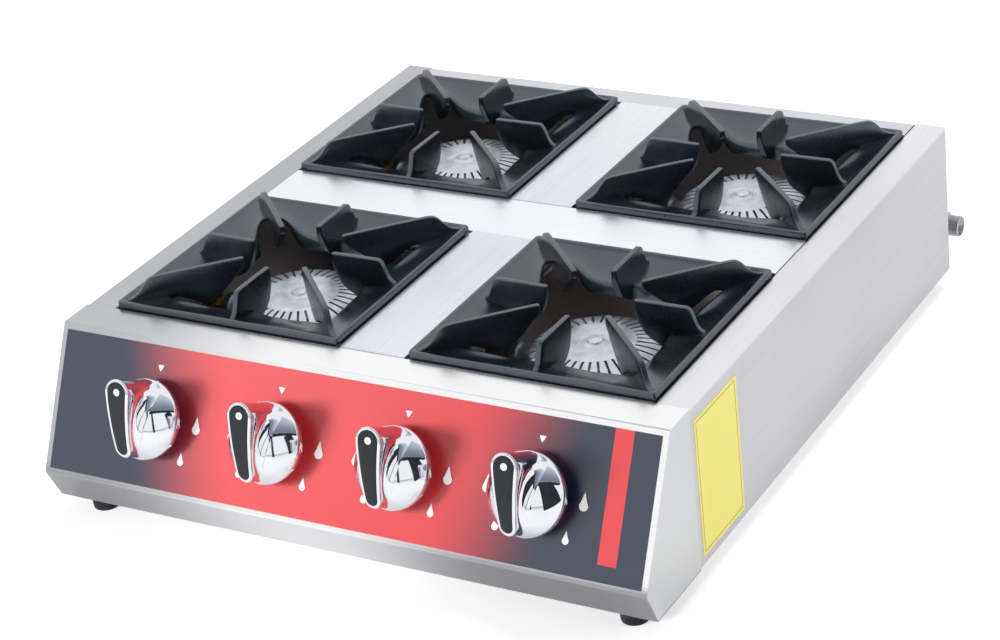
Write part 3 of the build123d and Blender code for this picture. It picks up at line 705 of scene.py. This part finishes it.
# Side views of both kinds of rib: distance from the burner's middle, and height.
corner_rib_top = [
    (46, 22.6), (60, 22.9), (90, 23), (124, 23), (131, 22.6), (135, 21.2), (139, 16.6), (143, 11.2),
    (148, 7.2), (154, 5.2), (159, 4.2),
]
corner_rib_foot = [
    (46, 16), (52, 10), (62, 0), (72, -8.5), (80, -14), (85, -15), (92, -11.5), (101, -5.4),
    (110, -1), (120, -3), (159, -2),
]
middle_rib_top = [
    (42, 22.5), (60, 22.8), (91, 23), (94, 22), (96, 18), (99, 9), (101, 4.5), (104, 2.5),
    (108, 1.5),
]
middle_rib_foot = [
    (42, 15), (45, 4), (50, -7), (56, -12), (60, -14.2), (66, -17.4), (73, -16), (80, -11),
    (90, -6), (108, -2),
]
rib_half_width = 2.5
rib_foot_half_width = 3.0
rib_rounding = 0.9
rib_stations = 54


def rib_shell(top, foot, turn_angle):
    """Rounded rings carried outward along a rib. The top and foot lines give each ring's height,
    its width grows a little towards the foot, and the rings at the tip draw in to a round nose."""
    flat, normal, _ = rounded_ring(2, 4)
    start, end = top[0][0], top[-1][0]
    reach = np.concatenate([[0, 0.25, 0.8, 1.6], np.linspace(3, end - start, rib_stations)]) + start
    draw = np.concatenate([[0.0, 0.55, 0.85, 0.97], np.ones(rib_stations)])
    draw[-1] = 0
    high = np.interp(reach, *np.array(top, float).T)
    low = np.interp(reach, *np.array(foot, float).T)
    for _ in range(2):
        high[1:-1] = (high[:-2] + 2 * high[1:-1] + high[2:]) / 4
        low[1:-1] = (low[:-2] + 2 * low[1:-1] + low[2:]) / 4
    half_height = (high - low) / 2 - (1 - draw) * rib_rounding
    height = (half_height - rib_rounding)[:, None] * flat[:, 1] + rib_rounding * normal[:, 1]
    share = (1 - height / half_height[:, None]) / 2
    width = rib_half_width + (rib_foot_half_width - rib_half_width) * share
    across = ((width - rib_rounding) * flat[:, 0] + rib_rounding * normal[:, 0]) * draw[:, None]
    level = height + ((high + low) / 2)[:, None]
    along = np.broadcast_to(reach[:, None], across.shape)
    c, s = cos(turn_angle), sin(turn_angle)
    points = np.stack([along * c - across * s, along * s + across * c, level], -1)
    return points.reshape(-1, 3), grid_faces(len(reach), len(flat))


def black_enamel(place):
    """Enamel on cast iron: near black with a blue cast, orange-peel skin and duller patches.
    Its sheen carries a painted blue tint.
    """
    skin = place.noise((260.0, 260.0, 260.0), 3.0)
    worn = place.noise((22.0, 22.0, 22.0), 4.0)
    return {
        "Base Color": worn.rise(0.35, 0.75).mix(colour(12, 14, 22), colour(22, 26, 38)),
        "Roughness": 0.16 + worn * 0.16 + skin * 0.06,
        "IOR": 2.1,
        # Painted reflection: the blue tint on the sheen stands in for a bluish sky.
        "Specular Tint": (0.78, 0.9, 1.0, 1.0),
        "Normal": (skin * 0.7 + worn * 0.3).bump(0.2, 0.0006),
    }


grate_shells = [dish_shell()]
for quarter in range(4):
    grate_shells.append(rib_shell(middle_rib_top, middle_rib_foot, quarter * pi / 2))
    grate_shells.append(rib_shell(corner_rib_top, corner_rib_foot, quarter * pi / 2 + pi / 4))
grate_points, grate_faces = join_shells(grate_shells)
enamel = material("black_enamel", black_enamel)
for place, (x, y) in burners.items():
    name = "grate_" + place
    points = grate_points + np.array([x, y, 0])
    add_piece("pan_support_" + place, points, grate_faces, enamel, name, name, "enamelled_iron")


# Knobs: polished chrome on die-cast zinc, a ball cap on a thin skirt with small lugs. The tall grip
# bar has hollow flanks, and a black strip with a white dot lies in its front. Each knob is cast in
# one piece, open underneath, and pressed on the stem of its tap.

knob_radius = 36.0
rim_round = 0.5
knob_wall = 2.5
skirt_start = 12.0
skirt_end = 18.0
cap_top = 40.0
ball_radius = (knob_radius ** 2 + (cap_top - skirt_end) ** 2) / (2 * (cap_top - skirt_end))
bar_top_radius = 12.0
bar_bottom_radius = 8.0
bar_top_centre = 22.8
bar_bottom_centre = -25.5
bar_edge = 1.4
flank_waist = 0.45
fold_up = [-34.0, -25.0, -16.7, 0.0, 15.5, 23.5, 31.0]
fold_out = [0.6, 1.6, 4.3, 6.6, 7.2, 7.3, 7.4]
strip_border = 2.5
strip_recess = 1.2
strip_thickness = 0.8
bar_sides = 44
bar_arc = 40


def bar_front(up):
    """Height of the bar's front above the face, a shallow parabola of the distance up the bar."""
    return 54.7 + 0.38514 * up - 0.003287 * up * up


def bar_ring():
    """Centre height, radius and outward direction round the bar's outline, which has two arcs and
    two sides that touch both."""
    lean = asin((bar_top_radius - bar_bottom_radius) / (bar_top_centre - bar_bottom_centre))
    top = np.linspace(-lean, pi + lean, bar_arc)
    bottom = np.linspace(pi + lean, 2 * pi - lean, bar_arc)
    slide = np.linspace(0, 1, bar_sides)[1:-1]
    left, right = np.full(len(slide), pi + lean), np.full(len(slide), -lean)
    angle = np.concatenate([top, left, bottom, right])
    share = np.concatenate([np.zeros(bar_arc), slide, np.ones(bar_arc), slide[::-1]])
    centre = bar_top_centre + (bar_bottom_centre - bar_top_centre) * share
    radius = bar_top_radius + (bar_bottom_radius - bar_top_radius) * share
    return centre, radius, np.stack([np.cos(angle), np.sin(angle)], -1)


def bar_plan(inward):
    """Outline of the bar drawn in by a distance at each point, never past its middle line."""
    centre, radius, direction = bar_ring()
    left = np.maximum(radius - inward, 0)
    return np.stack([left * direction[:, 0], centre + left * direction[:, 1]], -1)


def cap_height(plan):
    """Height of the ball cap over a point of the plan."""
    return cap_top - ball_radius + np.sqrt(ball_radius ** 2 - (plan ** 2).sum(-1))


def to_circle(start, direction, radius):
    """Way from a point inside a circle to the circle, in a given direction."""
    along = (start * direction).sum(-1)
    return np.sqrt(along ** 2 + radius ** 2 - (start ** 2).sum(-1)) - along


def with_height(plan, height):
    """Points of a plan, each with its height or all with the same one."""
    return np.concatenate([plan, np.broadcast_to(height, len(plan))[:, None]], -1)


def knob_shell():
    """One closed skin in rows that all have the bar's columns: the floor and wall of the recess,
    the chrome border, the rounded edge, and the flank, an arc of an ellipse that draws in to a
    waist and then swings out to its fold on the cap. From there each column runs over the cap to
    the rim, down the skirt and back in."""
    outline = bar_plan(0)
    direction = bar_ring()[2]
    room = to_circle(outline, direction, knob_radius - 2 * rim_round)
    fold = np.minimum(np.interp(outline[:, 1], fold_up, fold_out), room)
    rows = []
    for inward, drop in (
        (bar_top_radius, strip_recess), (strip_border, strip_recess), (strip_border, 0.5),
        (2.4, 0.15), (2.1, 0.0),
    ):
        plan = bar_plan(inward)
        rows.append(with_height(plan, bar_front(plan[:, 1]) - drop))
    for a in np.linspace(0, pi / 2, 8):
        plan = bar_plan(bar_edge * (1 - sin(a)))
        rows.append(with_height(plan, bar_front(plan[:, 1]) - bar_edge * (1 - cos(a))))
    flank_top = rows[-1][:, 2]
    fold_plan = outline + fold[:, None] * direction
    fold_height = cap_height(fold_plan)
    waist = flank_waist * fold
    first = -np.arccos(fold / (fold + waist))
    reach = (flank_top - fold_height) / (1 - np.sin(first))
    for step in np.linspace(0, 1, 29)[1:]:
        a = first + (pi / 2 - first) * step
        out = fold - (fold + waist) * np.cos(a)
        height = fold_height + reach * (1 - np.sin(a))
        rows.append(with_height(outline + out[:, None] * direction, height))
    way = to_circle(fold_plan, direction, knob_radius - rim_round)
    rim = fold_plan + way[:, None] * direction
    for step in np.concatenate([[0.03], np.linspace(0, 1, 26)[1:]]):
        plan = fold_plan + (rim - fold_plan) * step
        rows.append(with_height(plan, cap_height(plan)))
    ray = rim / (knob_radius - rim_round)
    inner = knob_radius - knob_wall
    for inward, height in (
        (0.2, skirt_end - 0.1), (0.05, skirt_end - 0.4), (0.05, skirt_end - 0.9),
        (0.6, skirt_end - 1.4), (0.6, skirt_end - 3.4), (0.6, skirt_start + 0.8),
        (0.8, skirt_start + 0.2), (1.2, skirt_start), (knob_wall - 0.3, skirt_start),
        (knob_wall, skirt_start + 0.3), (knob_wall, skirt_end - 1.0),
    ):
        rows.append(with_height(ray * (knob_radius - inward), height))
    for share, height in ((0.9, 3.0), (0.7, 9.0), (0.4, 16.0), (0.0, 19.0)):
        rows.append(with_height(ray * inner * share, skirt_end + height))
    return np.stack(rows)


lug_angles = (15, 93, 180, 280)
lug_level = 13.6
lug_reach = 0.9
lug_half_angle = 0.05
lug_half_height = 1.3
hub_radius = 9.0
hub_start = 6.5
hub_top = 36.0
hub_columns = 48
stem_room = 4.15


def with_lugs(points):
    """Pushes the skirt out in four low bumps, each a bell curve of the angle round the axis times
    one of the height."""
    angle = np.arctan2(points[..., 0], points[..., 1])
    upright = np.exp(-(((points[..., 2] - lug_level) / lug_half_height) ** 2))
    swell = 0 * angle
    for lug in np.radians(lug_angles):
        off = (angle - lug + pi) % (2 * pi) - pi
        swell += lug_reach * np.exp(-((off / lug_half_angle) ** 2)) * upright
    radius = np.hypot(points[..., 0], points[..., 1])
    grow = np.where(radius > knob_radius - 1, 1 + swell / knob_radius, 1)
    return np.concatenate([points[..., :2] * grow[..., None], points[..., 2:]], -1)


def hub_shell():
    """Ring under the cap that grips the stem."""
    profile = [
        (stem_room, hub_start), (hub_radius - 0.4, hub_start), (hub_radius, hub_start + 0.4),
        (hub_radius, hub_top), (stem_room, hub_top),
    ]
    return turned(profile, hub_columns), grid_faces(len(profile), hub_columns, close_rows=True)


def strip_shell():
    """The black strip: its underside from the middle line out, a rounded edge, and its front back
    to the middle line. Its UV map holds its plan in tenths of a metre, with the middle at 0.5."""
    border = strip_border + 0.12
    under = -strip_recess + 0.02
    front = strip_thickness - strip_recess
    rows = []
    for inward, height in (
        (bar_top_radius, under), (border, under), (border, front - 0.3),
        (border + 0.1, front - 0.1), (border + 0.3, front), (border + 2.0, front + 0.05),
        (bar_top_radius, front + 0.1),
    ):
        plan = bar_plan(inward)
        rows.append(with_height(plan, bar_front(plan[:, 1]) + height))
    points = np.concatenate(rows)
    return points, grid_faces(len(rows), len(rows[0])), points[:, :2] / 100 + 0.5


def on_face(points, knob_x):
    """Turns knob points (across, up the face, outward) into place on the sloping face."""
    across = np.array([1.0, 0, 0])
    up = np.array([0, sin(face_lean), cos(face_lean)])
    outward = np.array([0, -cos(face_lean), sin(face_lean)])
    axis = np.array([knob_x, 0, 0]) - up * knob_down_face * 1000
    return axis + points[:, :1] * across + points[:, 1:2] * up + points[:, 2:] * outward


def chrome_skin(place):
    """Chrome: a clear mirror with faint smears that dull it in patches."""
    smears = place.noise((45.0, 45.0, 45.0), 4.0, 0.6)
    return {
        "Base Color": smears.mix(colour(228, 231, 238), colour(240, 242, 247)),
        "Metallic": 1.0,
        "Roughness": 0.035 + smears.rise(0.45, 0.8) * 0.08,
        "Normal": smears.bump(0.02, 0.0005),
    }


dot_radius = 3.1
dot_blur = 0.15
dot_up = 23.3


def strip_skin(place):
    """Satin black plastic with a white dot near its upper end, placed by the strip's own UV map."""
    u, v, _ = place.node("ShaderNodeUVMap", {"uv_map": "UVMap"}, {}).parts()
    from_dot = (u - 0.5).length(v - (0.5 + dot_up / 100))
    dot = from_dot.rise((dot_radius + dot_blur) / 100, (dot_radius - dot_blur) / 100)
    haze = place.noise((160.0, 160.0, 160.0), 3.0)
    black = haze.mix(colour(22, 25, 28), colour(38, 42, 47))
    return {
        "Base Color": dot.mix(black, colour(250, 250, 252)),
        "Roughness": 0.34 + haze * 0.14,
        "Specular IOR Level": 0.35,
        "Normal": haze.bump(0.06, 0.0003),
    }


chrome = material("chrome_skin", chrome_skin)
satin_black = material("satin_black_strip", strip_skin)
skin = with_lugs(knob_shell())
skin_shell = skin.reshape(-1, 3), grid_faces(*skin.shape[:2])
knob_points, knob_faces = join_shells([skin_shell, hub_shell()])
strip_points, strip_faces, strip_uv = strip_shell()
for number, knob_x in enumerate(knob_xs, start=1):
    x = knob_x * 1000 + body_origin[0]
    body = f"knob_{number}"
    add_piece(
        f"chrome_knob_{number}", on_face(knob_points, x), knob_faces, chrome,
        body, body, "chrome", sharp=17,
    )
    add_piece(
        f"black_strip_{number}", on_face(strip_points, x), strip_faces, satin_black,
        body, f"knob_inset_{number}", "black_inlay", uv=strip_uv,
    )


# Studio: a pale floor that runs out of sight, an even white sky, a soft key lamp high on the left,
# one above and a weaker one on the right. The camera stands where the photograph was taken from.

floor_half = 30.0
sky_on_surfaces = 0.2
camera_lift = 0.5
mirror_lift = 0.22


def ray_kinds(tree):
    """Shades that are 1 for what the camera sees, and for what a mirror or a glass shows."""
    path = Shade(tree).node("ShaderNodeLightPath", {}, {}).socket.node
    sockets = [path.outputs[f"Is {kind} Ray"] for kind in ("Camera", "Glossy", "Transmission")]
    by_camera, by_mirror, by_glass = [Shade(tree, socket) for socket in sockets]
    return by_camera, by_mirror + by_glass


def stage_plate(name, corners, skin):
    """Flat plate of the studio between four corners."""
    mesh = bpy.data.meshes.new(name)
    mesh.from_pydata(corners, [], [(0, 1, 2, 3)])
    mesh.materials.append(skin)
    plate = bpy.data.objects.new(name, mesh)
    bpy.context.scene.collection.objects.link(plate)
    return plate


def pale_floor(place):
    """Matt floor. What the camera or a mirror sees of it is lifted towards white."""
    spots = place.noise((3.0, 3.0, 3.0), 3.0)
    by_camera, by_mirror = ray_kinds(place.tree)
    lift = by_camera * camera_lift + by_mirror * mirror_lift
    return {
        "Base Color": spots.mix(colour(240, 240, 241), colour(245, 245, 246)),
        "Roughness": 0.8 + spots * 0.1,
        "Specular IOR Level": 0.0,
        "Emission Color": lift.mix((0.0, 0.0, 0.0, 1.0), (1.0, 1.0, 1.0, 1.0)),
        "Emission Strength": 1.0,
    }


corners = [(x * floor_half, y * floor_half, 0) for x, y in ((-1, -1), (1, -1), (1, 1), (-1, 1))]
stage_plate("floor", corners, material("pale_floor", pale_floor))

world = bpy.data.worlds.new("white_sky")
world.use_nodes = True
bpy.context.scene.world = world
by_camera, by_mirror = ray_kinds(world.node_tree)
strength = sky_on_surfaces + (by_camera + by_mirror).least(1.0) * (1 - sky_on_surfaces)
background = world.node_tree.nodes["Background"]
background.inputs["Color"].default_value = (1.0, 1.0, 1.0, 1.0)
world.node_tree.links.new(strength.socket, background.inputs["Strength"])


# Cards that only mirrors see: a grey ceiling whose near edge is black and runs across the camera's
# view, a thin dark post on its left, and a dark screen on the floor at the right.

toward_camera = np.array([0.582, -0.813, 0.0])
rightward = np.array([0.813, 0.582, 0.0])
knob_row = np.array([0.06, -0.33, 0.1])


def mirror_card(name, places, skin):
    """Card between four corners, each given from the knobs: the way to the camera, the way to the
    right and the height."""
    axes = np.stack([toward_camera, rightward, [0, 0, 1]])
    card = stage_plate(name, (knob_row + np.array(places) @ axes).tolist(), skin)
    card.visible_camera = False
    card.visible_diffuse = False
    card.visible_shadow = False


def dark_card(place):
    """Near black with faint clouds."""
    clouds = place.noise((3.0, 3.0, 3.0), 2.0)
    return {
        "Base Color": (0.0, 0.0, 0.0, 1.0),
        "Specular IOR Level": 0.0,
        "Emission Color": clouds.mix((0.008, 0.008, 0.01, 1.0), (0.05, 0.055, 0.065, 1.0)),
        "Emission Strength": 1.0,
    }


def ceiling_card(place):
    """Grey blue that grows lighter away from the camera."""
    x, y, _ = place.parts()
    away = (y * 0.813 - x * 0.582).rise(-1.1, 0.1)
    return {
        "Base Color": (0.0, 0.0, 0.0, 1.0),
        "Specular IOR Level": 0.0,
        "Emission Color": away.mix((0.2, 0.23, 0.29, 1.0), (0.7, 0.74, 0.82, 1.0)),
        "Emission Strength": 1.0,
    }


mirror_card(
    "card_ceiling", [(0.9, -1.3, 1.2), (0.9, 2.4, 1.2), (0.0, 1.2, 1.2), (-0.4, -0.6, 1.2)],
    material("grey_ceiling", ceiling_card),
)
dark_skin = material("dark_card", dark_card)
for name, places in (
    ("card_edge", [(1.2, -0.45, 1.19), (1.2, 2.4, 1.19), (0.9, 2.4, 1.19), (0.9, -0.45, 1.19)]),
    ("card_post", [(1.1, -0.31, -0.1), (1.1, -0.2, -0.1), (1.1, -0.2, 1.19), (1.1, -0.31, 1.19)]),
    ("card_screen", [(0.4, 0.16, -0.05), (0.74, 0.94, -0.05), (0.74, 0.94, 1.0), (0.4, 0.16, 0.4)]),
):
    mirror_card(name, places, dark_skin)


def soft_lamp(name, place, target, side, watts):
    """Square lamp that looks from its place at a target. Mirrors don't show it."""
    lamp = bpy.data.lights.new(name, "AREA")
    lamp.shape = "SQUARE"
    lamp.size = side
    lamp.energy = watts
    holder = bpy.data.objects.new(name, lamp)
    holder.location = place
    holder.rotation_euler = (Vector(target) - Vector(place)).to_track_quat("-Z", "Y").to_euler()
    holder.visible_glossy = False
    bpy.context.scene.collection.objects.link(holder)


soft_lamp("lamp_left", (-1.55, -2.3, 1.0), (0.0, -0.3, 0.1), 0.6, 56.0)
soft_lamp("lamp_above", (0.2, 1.1, 3.0), (0.0, 0.0, 0.0), 2.0, 56.0)
soft_lamp("lamp_right", (2.6, 0.7, 0.9), (0.3, 0.0, 0.1), 1.0, 27.0)

camera = bpy.data.cameras.new("camera")
camera.sensor_width = 36.0
camera.lens = 99.375
eye = bpy.data.objects.new("camera", camera)
eye.location = (1.19624, -1.957903, 1.25693)
eye.rotation_euler = (radians(62.626), radians(5.882), radians(28.876))
bpy.context.scene.collection.objects.link(eye)
bpy.context.scene.camera = eye
bpy.context.scene.view_settings.view_transform = "Standard"
